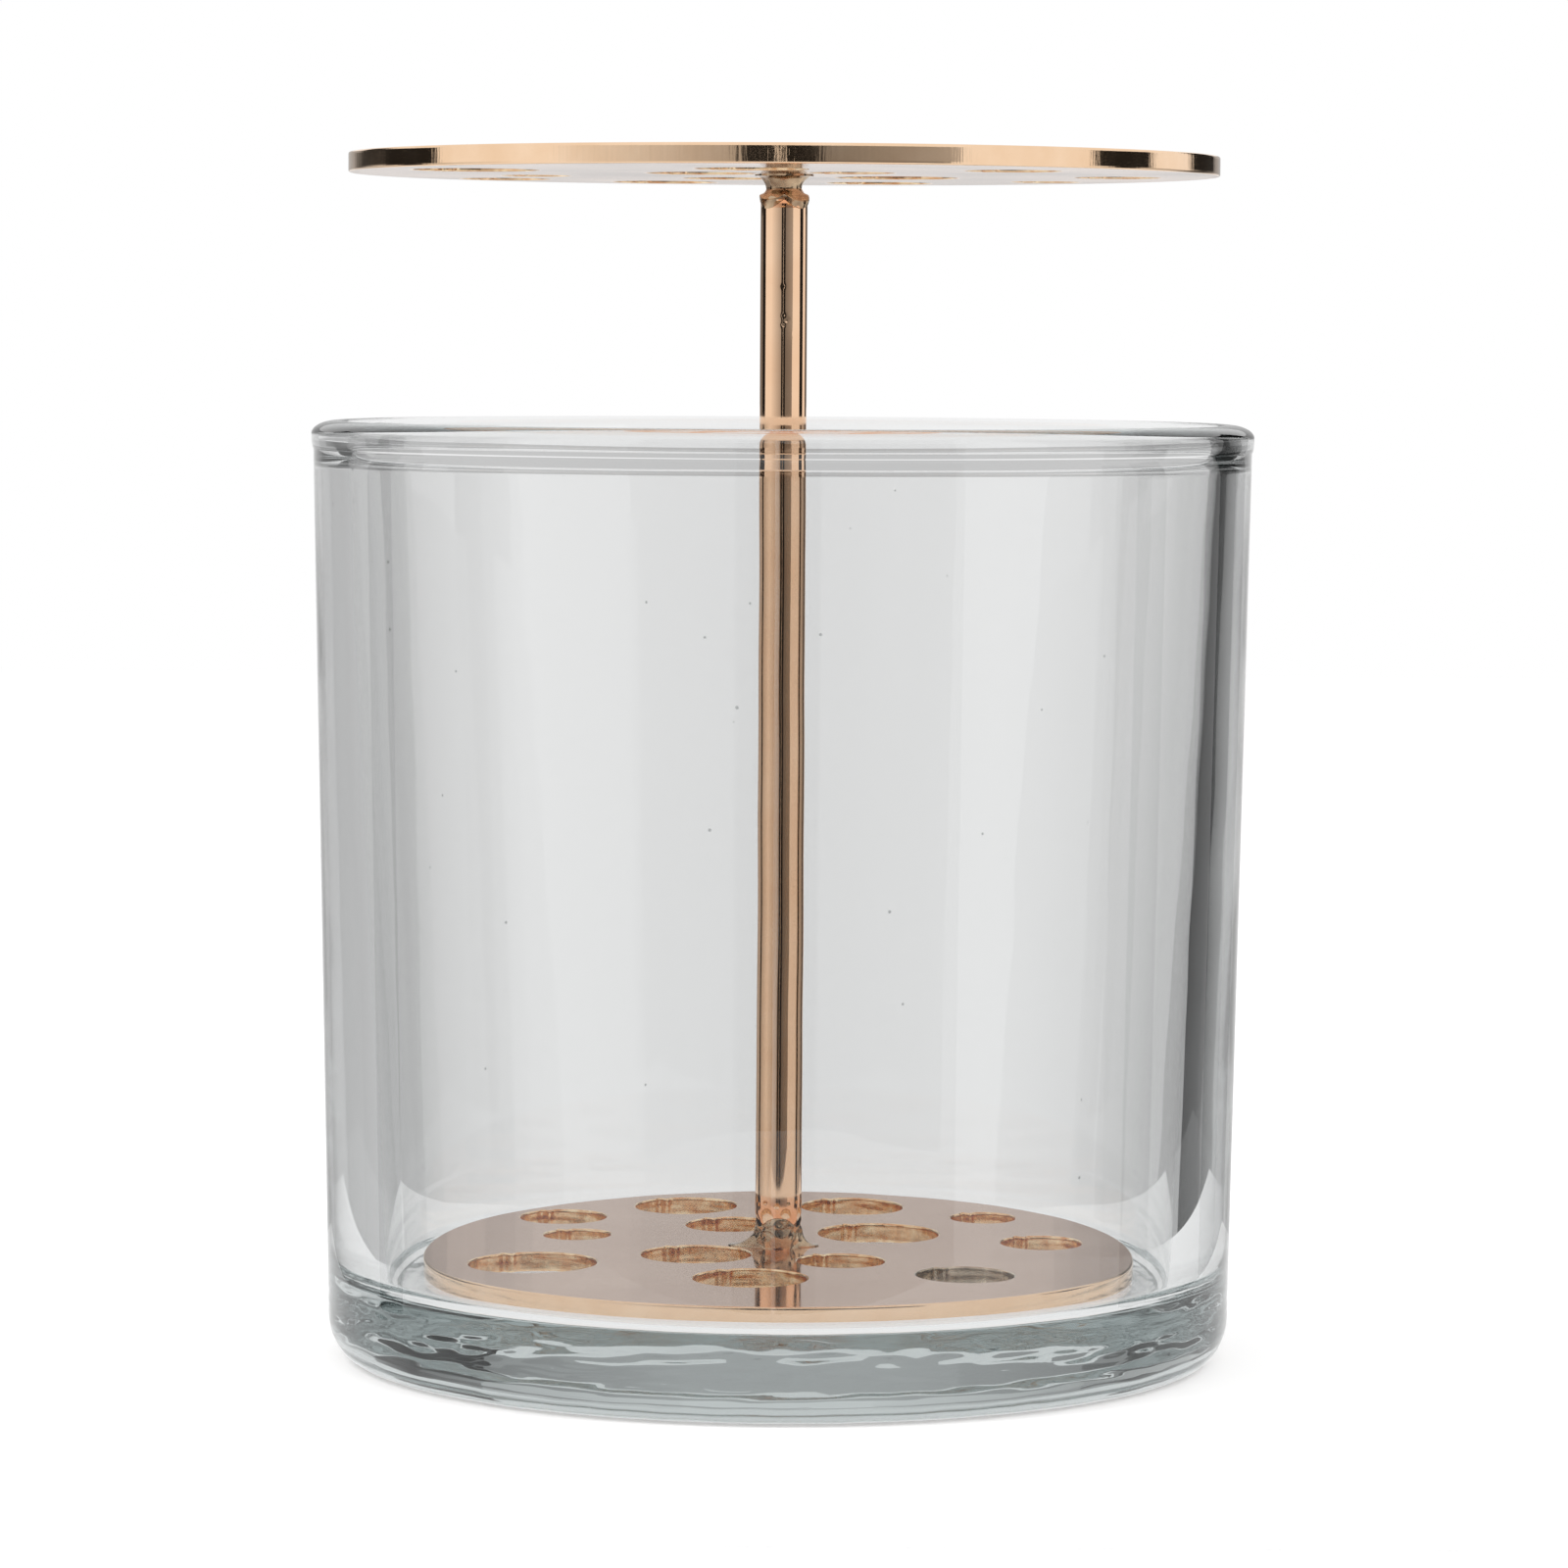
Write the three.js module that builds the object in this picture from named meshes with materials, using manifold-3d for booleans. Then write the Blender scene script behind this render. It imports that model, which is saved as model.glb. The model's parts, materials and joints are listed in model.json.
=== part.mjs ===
// Hydroponic glass vase: a heavy-based tumbler of clear glass, and the flower frog that stands in it.
// The frog is two drilled discs welded to the ends of one stem, all of it copper plated. The lower disc
// rests on the glass floor, the upper disc holds the flowers above the rim, and stems pass through both.
// Units are millimetres, +Z is up, and the origin lies under the middle of the base.
import * as THREE from "three";
import { mergeVertices } from "three/addons/utils/BufferGeometryUtils.js";
import Module from "manifold-3d";

// Glass tumbler
const VASE_HEIGHT = 120;
const VASE_RIM_DIAMETER = 120;
const VASE_BASE_DIAMETER = 115.6;
const RIM_WALL_THICKNESS = 4.2;
const FOOT_WALL_THICKNESS = 7.2;
const FLOOR_THICKNESS = 10.5;
const FLOOR_FILLET_RADIUS = 4;
const BASE_CORNER_RADIUS = 4;
const BEARING_RING_WIDTH = 6;
const PUSH_UP_HEIGHT = 0.8;

// Fire-polished lip, rounded more on the outside than on the inside
const LIP_OUTER_ROUNDING = 2.8;
const LIP_INNER_ROUNDING = RIM_WALL_THICKNESS - LIP_OUTER_ROUNDING;

// Discs of the flower frog
const FLOOR_CLEARANCE = 0.3;
const DISC_EDGE_CLEARANCE = 1;
const UPPER_DISC_DIAMETER = 111;
const UPPER_DISC_ABOVE_RIM = 31.5;
const DISC_THICKNESS = 2.5;
const DISC_EDGE_BREAK = 0.3;

// Stem, ground to a taper at both ends before welding
const STEM_DIAMETER = 6;
const STEM_TAPER_LENGTH = 4;
const STEM_TAPER_DEPTH = 1.4;

// Weld beads, each with a thin foot on its disc, a hollow neck and a scalloped toe on the stem
const WELD_CLEARANCE = 0.1;
const WELD_FOOT_THICKNESS = 0.25;
const WELD_NECK_COVER = 0.4;
const WELD_TOE_COVER = 0.2;
const WELD_TOE_HEIGHT = 3.6;
const WELD_SCALLOP_DEPTH = 0.6;
const WELD_SCALLOPS = 4;
const UPPER_WELD_FOOT_RADIUS = 3.9;
const UPPER_WELD_NECK_HEIGHT = 1.3;
const LOWER_WELD_FOOT_RADIUS = 4.8;
const LOWER_WELD_NECK_HEIGHT = 1.9;

// Stem holes: five drills, and the lands that the outermost and innermost holes leave
const DRILL_FINE = 9;
const DRILL_SMALL = 11;
const DRILL_MEDIUM = 12;
const DRILL_LARGE = 14;
const DRILL_WIDE = 16;
const RIM_LAND = 2;
const WELD_LAND = 0.4;

// Each hole lies at an angle in degrees from +X towards +Y, at a reach from 0 beside the weld to 1 at the
// rim land. Both discs share the list, so the holes stay in line from one disc to the other.
const STEM_HOLES = [
  { drill: DRILL_LARGE, angle: 73, reach: 0.91 },
  { drill: DRILL_LARGE, angle: 111, reach: 0.95 },
  { drill: DRILL_MEDIUM, angle: 141, reach: 1 },
  { drill: DRILL_FINE, angle: 161, reach: 0.62 },
  { drill: DRILL_WIDE, angle: 203, reach: 0.89 },
  { drill: DRILL_LARGE, angle: 211, reach: 0 },
  { drill: DRILL_LARGE, angle: 262, reach: 0.5 },
  { drill: DRILL_SMALL, angle: 306, reach: 0.1 },
  { drill: DRILL_MEDIUM, angle: 318, reach: 0.74 },
  { drill: DRILL_SMALL, angle: 7, reach: 0.87 },
  { drill: DRILL_FINE, angle: 41, reach: 0.92 },
  { drill: DRILL_WIDE, angle: 40, reach: 0.18 },
  { drill: DRILL_MEDIUM, angle: 110, reach: 0.28 },
];

// Facets
const ROUND_SEGMENTS = 72;
const STEM_SEGMENTS = 36;
const HOLE_SEGMENTS = 24;
const CURVE_DIVISIONS = 3;
const CUTTER_OVERSHOOT = 1;

// Finishes
const CLEAR_GLASS = { color: 0xdfe6e4, roughness: 0.03, metalness: 0, transparent: true, opacity: 0.35 };
const SATIN_COPPER = { color: 0xd9b296, roughness: 0.38, metalness: 1 };
const POLISHED_COPPER = { color: 0xdfae8c, roughness: 0.14, metalness: 1 };
const WELDED_COPPER = { color: 0xc79a78, roughness: 0.3, metalness: 1 };

// Sizes that follow from the ones above
const RIM_RADIUS = VASE_RIM_DIAMETER / 2;
const BASE_RADIUS = VASE_BASE_DIAMETER / 2;
const DRAFT = Math.atan2(RIM_RADIUS - BASE_RADIUS, VASE_HEIGHT);
const INNER_DRAFT = Math.atan2(innerWall(VASE_HEIGHT) - innerWall(0), VASE_HEIGHT);
const FILLET_CENTRE_HEIGHT = FLOOR_THICKNESS + FLOOR_FILLET_RADIUS;
const FLAT_FLOOR_RADIUS = innerWall(FILLET_CENTRE_HEIGHT) - FLOOR_FILLET_RADIUS / Math.cos(INNER_DRAFT);
const LOWER_DISC_RADIUS = FLAT_FLOOR_RADIUS - DISC_EDGE_CLEARANCE;
const UPPER_DISC_RADIUS = UPPER_DISC_DIAMETER / 2;
const STEM_RADIUS = STEM_DIAMETER / 2;
const FROG_BASE = FLOOR_THICKNESS + FLOOR_CLEARANCE;
const STEM_LENGTH = VASE_HEIGHT + UPPER_DISC_ABOVE_RIM - FROG_BASE - DISC_THICKNESS;

const wasm = await Module();
wasm.setup();

// Radius of the drafted outer wall at a height.
function outerWall(height) {
  return BASE_RADIUS + height * Math.tan(DRAFT);
}

// Radius of the inner wall at a height. The wall thickens from the rim down to the floor.
function innerWall(height) {
  const rise = THREE.MathUtils.inverseLerp(FLOOR_THICKNESS, VASE_HEIGHT, height);
  return outerWall(height) - THREE.MathUtils.lerp(FOOT_WALL_THICKNESS, RIM_WALL_THICKNESS, rise);
}

// Turns a profile of radius against height about the Z axis.
function turned(points, segments) {
  return new THREE.LatheGeometry(points, segments).rotateX(Math.PI / 2);
}

// The closed solid of a geometry.
function solidOf(geometry) {
  const bare = geometry.clone().deleteAttribute("normal").deleteAttribute("uv");
  const merged = mergeVertices(bare);
  const vertProperties = merged.attributes.position.array;
  const triVerts = new Uint32Array(merged.index.array);
  return new wasm.Manifold(new wasm.Mesh({ numProp: 3, vertProperties, triVerts }));
}

// The geometry of a solid, flat shaded.
function geometryOf(solid) {
  const { vertProperties, triVerts } = solid.getMesh();
  const geometry = new THREE.BufferGeometry();
  geometry.setAttribute("position", new THREE.BufferAttribute(vertProperties, 3));
  geometry.setIndex(new THREE.BufferAttribute(triVerts, 1));
  geometry.computeVertexNormals();
  return geometry;
}

// A named piece with a material of its own.
function piece(name, geometry, finish) {
  const mesh = new THREE.Mesh(geometry, new THREE.MeshStandardMaterial(finish));
  mesh.name = name;
  return mesh;
}

// Half section of the glass, from the middle of the push-up round the wall and lip to the middle of the floor.
function vaseProfile() {
  const cornerCentre = outerWall(BASE_CORNER_RADIUS) - BASE_CORNER_RADIUS / Math.cos(DRAFT);
  const pushUpRadius = cornerCentre - BEARING_RING_WIDTH;
  const domeRadius = (pushUpRadius ** 2 + PUSH_UP_HEIGHT ** 2) / (2 * PUSH_UP_HEIGHT);
  const domeEdge = Math.acos(pushUpRadius / domeRadius);
  const crest = RIM_RADIUS - LIP_OUTER_ROUNDING;
  const outerShoulder = VASE_HEIGHT - LIP_OUTER_ROUNDING;
  const innerShoulder = VASE_HEIGHT - LIP_INNER_ROUNDING;
  const quarter = Math.PI / 2;

  const path = new THREE.Path();
  path.moveTo(0, PUSH_UP_HEIGHT);
  path.absarc(0, PUSH_UP_HEIGHT - domeRadius, domeRadius, quarter, domeEdge, true);
  path.lineTo(cornerCentre, 0);
  path.absarc(cornerCentre, BASE_CORNER_RADIUS, BASE_CORNER_RADIUS, -quarter, -DRAFT, false);
  path.absarc(crest, outerShoulder, LIP_OUTER_ROUNDING, 0, quarter, false);
  path.absarc(crest, innerShoulder, LIP_INNER_ROUNDING, quarter, 2 * quarter - INNER_DRAFT, false);
  path.absarc(FLAT_FLOOR_RADIUS, FILLET_CENTRE_HEIGHT, FLOOR_FILLET_RADIUS, -INNER_DRAFT, -quarter, true);
  path.lineTo(0, FLOOR_THICKNESS);
  return path.getPoints(CURVE_DIVISIONS);
}

// Half section of an undrilled disc with its two rim edges broken.
function discProfile(radius) {
  const path = new THREE.Path();
  path.moveTo(0, 0);
  path.lineTo(radius - DISC_EDGE_BREAK, 0);
  path.lineTo(radius, DISC_EDGE_BREAK);
  path.lineTo(radius, DISC_THICKNESS - DISC_EDGE_BREAK);
  path.lineTo(radius - DISC_EDGE_BREAK, DISC_THICKNESS);
  path.lineTo(0, DISC_THICKNESS);
  return path.getPoints();
}

// Middle of a stem hole in a disc, in the band between the weld's land and the rim land.
function holeCentre({ drill, angle, reach }, discRadius) {
  const nearest = LOWER_WELD_FOOT_RADIUS + WELD_LAND + drill / 2;
  const farthest = discRadius - RIM_LAND - drill / 2;
  const radius = THREE.MathUtils.lerp(nearest, farthest, reach);
  const turn = THREE.MathUtils.degToRad(angle);
  return new THREE.Vector3(radius * Math.cos(turn), radius * Math.sin(turn), DISC_THICKNESS / 2);
}

// A drill's cut through a disc at a stem hole.
function holeCutter(hole, discRadius) {
  const length = DISC_THICKNESS + 2 * CUTTER_OVERSHOOT;
  const bit = new THREE.CylinderGeometry(hole.drill / 2, hole.drill / 2, length, HOLE_SEGMENTS);
  const { x, y, z } = holeCentre(hole, discRadius);
  return solidOf(bit.rotateX(Math.PI / 2).translate(x, y, z));
}

// A disc with every stem hole drilled.
function drilledDisc(radius) {
  const blank = solidOf(turned(discProfile(radius), ROUND_SEGMENTS));
  const drilled = STEM_HOLES.reduce((disc, hole) => disc.subtract(holeCutter(hole, radius)), blank);
  return geometryOf(drilled);
}

// Radius of the stem's surface at a distance from its nearer end.
function stemSurface(fromEnd) {
  const left = Math.max(0, 1 - fromEnd / STEM_TAPER_LENGTH);
  return STEM_RADIUS - STEM_TAPER_DEPTH * left;
}

// The stem, a round bar with both ends tapered for welding.
function stemBar() {
  const path = new THREE.Path();
  path.moveTo(0, 0);
  path.lineTo(stemSurface(0), 0);
  path.lineTo(STEM_RADIUS, STEM_TAPER_LENGTH);
  path.lineTo(STEM_RADIUS, STEM_LENGTH - STEM_TAPER_LENGTH);
  path.lineTo(stemSurface(0), STEM_LENGTH);
  path.lineTo(0, STEM_LENGTH);
  return turned(path.getPoints(), STEM_SEGMENTS);
}

// Section of a weld bead, which stands on a disc at height 0 and climbs the stem's taper.
function weldProfile(footRadius, neckHeight) {
  const seat = (height) => stemSurface(height) + WELD_CLEARANCE;
  const neck = seat(neckHeight) + WELD_NECK_COVER;
  const toe = seat(WELD_TOE_HEIGHT) + WELD_TOE_COVER;
  const bend = (neckHeight + WELD_TOE_HEIGHT) / 2;
  const path = new THREE.Path();
  path.moveTo(seat(0), 0);
  path.lineTo(footRadius, 0);
  path.lineTo(footRadius, WELD_FOOT_THICKNESS);
  path.quadraticCurveTo(neck, WELD_FOOT_THICKNESS, neck, neckHeight);
  path.quadraticCurveTo(neck, bend, toe, WELD_TOE_HEIGHT);
  path.lineTo(seat(WELD_TOE_HEIGHT), WELD_TOE_HEIGHT);
  path.lineTo(seat(0), 0);
  return path.getPoints(CURVE_DIVISIONS);
}

// A weld bead whose toe is drawn back towards the disc between its scallops.
function weldBead(footRadius, neckHeight) {
  const bead = turned(weldProfile(footRadius, neckHeight), STEM_SEGMENTS);
  const { position } = bead.attributes;
  for (let i = 0; i < position.count; i += 1) {
    const around = Math.atan2(position.getY(i), position.getX(i));
    const height = position.getZ(i);
    const climb = THREE.MathUtils.smoothstep(height, neckHeight, WELD_TOE_HEIGHT);
    const drawnBack = 1 - Math.abs(Math.sin((WELD_SCALLOPS / 2) * around));
    position.setZ(i, height - WELD_SCALLOP_DEPTH * climb * drawnBack);
  }
  bead.computeVertexNormals();
  return bead;
}

const lowerDisc = piece("lower_disc", drilledDisc(LOWER_DISC_RADIUS), SATIN_COPPER);

const lowerWeld = piece(
  "lower_weld_bead",
  weldBead(LOWER_WELD_FOOT_RADIUS, LOWER_WELD_NECK_HEIGHT),
  WELDED_COPPER,
);
lowerWeld.position.z = DISC_THICKNESS;

const stem = piece("stem_rod", stemBar(), POLISHED_COPPER);
stem.position.z = DISC_THICKNESS;

const upperWeld = piece(
  "upper_weld_bead",
  weldBead(UPPER_WELD_FOOT_RADIUS, UPPER_WELD_NECK_HEIGHT),
  WELDED_COPPER,
);
upperWeld.rotation.x = Math.PI;
upperWeld.position.z = DISC_THICKNESS + STEM_LENGTH;

const upperDisc = piece("upper_disc", drilledDisc(UPPER_DISC_RADIUS), SATIN_COPPER);
upperDisc.position.z = DISC_THICKNESS + STEM_LENGTH;

const flowerFrog = new THREE.Group();
flowerFrog.position.z = FROG_BASE;
flowerFrog.add(lowerDisc, lowerWeld, stem, upperWeld, upperDisc);

const vase = new THREE.Group();
vase.add(piece("glass_vase", turned(vaseProfile(), ROUND_SEGMENTS), CLEAR_GLASS), flowerFrog);

export default vase;
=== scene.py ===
"""Dresses the hydroponic glass vase: a pressed-glass tumbler and its copper-plated flower frog."""

import json
import logging
import math
from dataclasses import dataclass, field
from enum import Enum
from typing import Callable, ClassVar, NamedTuple, Sequence

import bmesh
import bpy
from mathutils import Matrix, Vector, noise


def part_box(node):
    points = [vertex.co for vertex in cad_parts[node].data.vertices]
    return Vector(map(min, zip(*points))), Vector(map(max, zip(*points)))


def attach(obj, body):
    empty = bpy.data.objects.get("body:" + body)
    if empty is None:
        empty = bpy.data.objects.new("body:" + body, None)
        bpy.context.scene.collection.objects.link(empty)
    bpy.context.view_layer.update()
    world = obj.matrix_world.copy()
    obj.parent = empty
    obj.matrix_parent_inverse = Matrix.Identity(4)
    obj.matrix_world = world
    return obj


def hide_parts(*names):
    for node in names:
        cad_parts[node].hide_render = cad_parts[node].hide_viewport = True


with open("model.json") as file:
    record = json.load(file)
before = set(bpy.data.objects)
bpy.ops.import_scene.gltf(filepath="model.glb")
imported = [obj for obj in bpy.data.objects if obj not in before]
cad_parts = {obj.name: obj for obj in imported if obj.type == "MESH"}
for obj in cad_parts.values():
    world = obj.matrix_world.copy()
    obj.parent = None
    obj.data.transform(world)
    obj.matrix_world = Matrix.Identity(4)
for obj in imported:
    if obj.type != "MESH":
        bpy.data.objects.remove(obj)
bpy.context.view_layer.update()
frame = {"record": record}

LOG = logging.getLogger("hydroponic_vase")
MM = 0.001
# Radius in metres under which a point of a profile lies on the axis.
ON_AXIS = 1e-6
# Share of a stem hole's width that the record's box for it spans.
STEM_BOX_SHARE = 0.70
# Strength at which a surface that gives its own light shows as plain white.
WHITE = 1.0

Point = tuple[float, float]
Span = tuple[float, float]
Warp = Callable[[float, float, float], Point]
Socket = bpy.types.NodeSocket


class Body(Enum):
    """The bodies that pieces ride on."""

    VASE = "vase"
    FROG = "flower_frog"


class Slot(Enum):
    """The record's material slots."""

    GLASS = "clear_glass"
    SATIN = "satin_copper_plate"
    POLISHED = "polished_copper_plate"
    WELD = "welded_copper_plate"


class Node(Enum):
    """The solids that the pieces stand for."""

    GLASS = "glass_vase"
    LOWER_DISC = "lower_disc"
    UPPER_DISC = "upper_disc"
    STEM = "stem_rod"
    LOWER_WELD = "lower_weld_bead"
    UPPER_WELD = "upper_weld_bead"


def linear(hex_colour: str) -> tuple[float, float, float, float]:
    """Turns an sRGB hex colour to linear light.

    Args:
        hex_colour: Six hex digits, such as "f7d5b5".

    Returns:
        Linear red, green and blue, with an alpha of 1.
    """
    parts = [int(hex_colour[at : at + 2], 16) / 255 for at in (0, 2, 4)]
    light = [part / 12.92 if part <= 0.04045 else ((part + 0.055) / 1.055) ** 2.4 for part in parts]
    return (*light, 1.0)


def per_mm(size_mm: float) -> float:
    """Texture scale, in repeats per metre, of a pattern of this size in millimetres."""
    return 1 / (size_mm * MM)


def add_node(
    tree: bpy.types.NodeTree,
    kind: str,
    inputs: dict[str | int, object] | None = None,
    stops: Sequence[tuple[float, str]] = (),
    **settings: object,
) -> bpy.types.Node:
    """Adds a node with its settings, and sets or links its inputs.

    Args:
        tree: Node tree that takes the node.
        kind: Blender's name for the kind of node.
        inputs: Values or output sockets, by the name or number of the input that takes them.
        stops: Places from 0 to 1 with their sRGB hex colours, for a node with a colour ramp.
        **settings: Properties of the node itself.

    Returns:
        The new node.
    """
    node = tree.nodes.new(kind)
    for name, value in settings.items():
        setattr(node, name, value)
    for number, (place, hex_colour) in enumerate(stops):
        elements = node.color_ramp.elements
        stop = elements[number] if number < len(elements) else elements.new(place)
        stop.position = place
        stop.color = linear(hex_colour)
    for key, value in (inputs or {}).items():
        if isinstance(value, Socket):
            tree.links.new(value, node.inputs[key])
        else:
            node.inputs[key].default_value = value
    return node


@dataclass(frozen=True)
class Finish:
    """What a surface is made of and how it was worked."""

    name: str

    def material(self) -> bpy.types.Material:
        """Gives the finish's material, which is made on first use.

        Returns:
            The material.
        """
        made = bpy.data.materials.get(self.name)
        if made is None:
            made = bpy.data.materials.new(self.name)
            made.use_nodes = True
            made.node_tree.nodes.clear()
            output = add_node(made.node_tree, "ShaderNodeOutputMaterial")
            self.wire(made.node_tree, output)
        return made

    def wire(self, tree: bpy.types.NodeTree, output: bpy.types.Node) -> None:
        """Builds the shader.

        Args:
            tree: The material's node tree.
            output: Its output node.
        """
        raise NotImplementedError


@dataclass(frozen=True)
class SodaLimeGlass(Finish):
    """Soda-lime glass, pressed and fire polished."""

    # To the eye it is clear in the wall and faintly grey-green through the heavy base. The pale grey tint is
    # painted shade, which dims all that is seen through the glass in place of a dimmer studio. Slow ripples
    # left by the mould bend what is seen through it, and a few seeds sit in the wall. Real seeds are about
    # 0.1 mm wide, too fine to show, so they are drawn a few times as wide.
    painted_shade_tint: str = "f4f4f4"
    specks: str = "9a9d9c"
    ripple_mm: float = 26.0
    ripple_depth_mm: float = 0.4
    ripple_strength: float = 0.05
    speck_mm: float = 9.0
    speck_edge: Span = (0.018, 0.028)
    base_green: str = "839c9c"
    density: float = 6.8
    ior: float = 1.52

    def wire(self, tree: bpy.types.NodeTree, output: bpy.types.Node) -> None:
        """Builds the shader.

        Args:
            tree: The material's node tree.
            output: Its output node.
        """
        place = add_node(tree, "ShaderNodeTexCoord").outputs["Object"]
        ripple = add_node(tree, "ShaderNodeTexNoise", {"Vector": place, "Scale": per_mm(self.ripple_mm)})
        bump = add_node(
            tree,
            "ShaderNodeBump",
            {
                "Height": ripple.outputs["Fac"],
                "Strength": self.ripple_strength,
                "Distance": self.ripple_depth_mm * MM,
            },
        )
        cells = add_node(tree, "ShaderNodeTexVoronoi", {"Vector": place, "Scale": per_mm(self.speck_mm)})
        # Away from the seeds the glass takes its pale grey tint, painted shade over all that is seen through
        # it.
        colour = add_node(
            tree,
            "ShaderNodeValToRGB",
            {"Fac": cells.outputs["Distance"]},
            stops=[(self.speck_edge[0], self.specks), (self.speck_edge[1], self.painted_shade_tint)],
        )
        shader = add_node(
            tree,
            "ShaderNodeBsdfPrincipled",
            {
                "Base Color": colour.outputs["Color"],
                "Roughness": 0.0,
                "IOR": self.ior,
                "Transmission Weight": 1.0,
                "Normal": bump.outputs["Normal"],
            },
        )
        volume = add_node(
            tree,
            "ShaderNodeVolumeAbsorption",
            {"Color": linear(self.base_green), "Density": self.density},
        )
        tree.links.new(shader.outputs[0], output.inputs["Surface"])
        tree.links.new(volume.outputs[0], output.inputs["Volume"])


@dataclass(frozen=True)
class CopperPlate(Finish):
    """Copper plate over steel, with the gloss that the worked steel under it gives."""

    # To the eye it is a pink-gold metal with slow cloudy blotches in colour and gloss. The grain of rolled,
    # drawn or cut steel is a few hundredths of a millimetre wide, too fine to show, so it is drawn about ten
    # times as coarse.
    light: str
    dark: str
    blotch_mm: float
    grain_mm: float
    roughness: Span
    grain_depth_mm: float
    grain_stretch: tuple[float, float, float] = (1.0, 1.0, 1.0)
    grain_strength: float = 0.5
    grain_detail: float = 3.0
    blotch_detail: float = 4.0
    blotch_span: Span = (0.3, 0.7)

    def wire(self, tree: bpy.types.NodeTree, output: bpy.types.Node) -> None:
        """Builds the shader.

        Args:
            tree: The material's node tree.
            output: Its output node.
        """
        place = add_node(tree, "ShaderNodeTexCoord").outputs["Object"]
        blotch = add_node(
            tree,
            "ShaderNodeTexNoise",
            {"Vector": place, "Scale": per_mm(self.blotch_mm), "Detail": self.blotch_detail},
        ).outputs["Fac"]
        stretched = add_node(tree, "ShaderNodeMapping", {"Vector": place, "Scale": self.grain_stretch})
        grain = add_node(
            tree,
            "ShaderNodeTexNoise",
            {"Vector": stretched.outputs[0], "Scale": per_mm(self.grain_mm), "Detail": self.grain_detail},
        ).outputs["Fac"]
        bump = add_node(
            tree,
            "ShaderNodeBump",
            {"Height": grain, "Strength": self.grain_strength, "Distance": self.grain_depth_mm * MM},
        )
        low, high = self.blotch_span
        colour = add_node(
            tree, "ShaderNodeValToRGB", {"Fac": blotch}, stops=[(low, self.dark), (high, self.light)]
        )
        gloss = add_node(
            tree,
            "ShaderNodeMapRange",
            {0: blotch, 1: low, 2: high, 3: self.roughness[0], 4: self.roughness[1]},
        )
        shader = add_node(
            tree,
            "ShaderNodeBsdfPrincipled",
            {
                "Base Color": colour.outputs["Color"],
                "Metallic": 1.0,
                "Roughness": gloss.outputs[0],
                "Normal": bump.outputs["Normal"],
            },
        )
        tree.links.new(shader.outputs[0], output.inputs["Surface"])


@dataclass(frozen=True)
class BareSteel(CopperPlate):
    """Laser-cut mild steel that the plating did not reach."""

    # To the eye it is a dull warm grey, darker where the cut left scale. The cut's grain is drawn as coarse
    # as the plate's.
    light: str = "e4d4bf"
    dark: str = "9a8873"
    blotch_mm: float = 2.4
    grain_mm: float = 0.5
    roughness: Span = (0.15, 0.3)
    grain_depth_mm: float = 0.04


@dataclass(frozen=True)
class SeamlessPaper(Finish):
    """White seamless paper, matt and uncoated."""

    # To the eye it is even white with a soft shadow. The camera sees it lifted by a little of its own light,
    # and metal and glass show it as plain white.
    colour: str = "eeeeee"
    lift: float = 0.33

    def wire(self, tree: bpy.types.NodeTree, output: bpy.types.Node) -> None:
        """Builds the shader.

        Args:
            tree: The material's node tree.
            output: Its output node.
        """
        path = add_node(tree, "ShaderNodeLightPath")
        paper = add_node(tree, "ShaderNodeBsdfDiffuse", {"Color": linear(self.colour)})
        lift = add_node(
            tree, "ShaderNodeMath", {0: path.outputs["Is Camera Ray"], 1: self.lift}, operation="MULTIPLY"
        )
        glow = add_node(tree, "ShaderNodeEmission", {"Strength": lift.outputs[0]})
        seen = add_node(tree, "ShaderNodeAddShader", {0: paper.outputs[0], 1: glow.outputs[0]})
        white = add_node(tree, "ShaderNodeEmission", {"Strength": WHITE})
        shown = add_node(
            tree,
            "ShaderNodeMath",
            {0: path.outputs["Is Glossy Ray"], 1: path.outputs["Is Transmission Ray"]},
            operation="MAXIMUM",
        )
        both = add_node(
            tree, "ShaderNodeMixShader", {0: shown.outputs[0], 1: seen.outputs[0], 2: white.outputs[0]}
        )
        tree.links.new(both.outputs[0], output.inputs["Surface"])


@dataclass(frozen=True)
class StudioPanel(Finish):
    """Black, grey and lit studio panels of painted board."""

    # To the eye each is as bright as the level stored on its corners. One that shows only as a mirror image
    # is plain white where it is seen straight through the glass. A ray is mirrored from its first glossy
    # bounce on, so the test for it lies between none and one.
    attribute: str = "level"
    mirrored_only: bool = False
    first_mirror: float = 0.5

    def wire(self, tree: bpy.types.NodeTree, output: bpy.types.Node) -> None:
        """Builds the shader.

        Args:
            tree: The material's node tree.
            output: Its output node.
        """
        level = add_node(tree, "ShaderNodeAttribute", attribute_name=self.attribute).outputs["Fac"]
        if self.mirrored_only:
            mirrors = add_node(tree, "ShaderNodeLightPath").outputs["Glossy Depth"]
            seen = add_node(
                tree, "ShaderNodeMath", {0: mirrors, 1: self.first_mirror}, operation="GREATER_THAN"
            ).outputs[0]
            level = add_node(tree, "ShaderNodeMapRange", {0: seen, 3: WHITE, 4: level}).outputs[0]
        glow = add_node(tree, "ShaderNodeEmission", {"Strength": level})
        tree.links.new(glow.outputs[0], output.inputs["Surface"])


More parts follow.
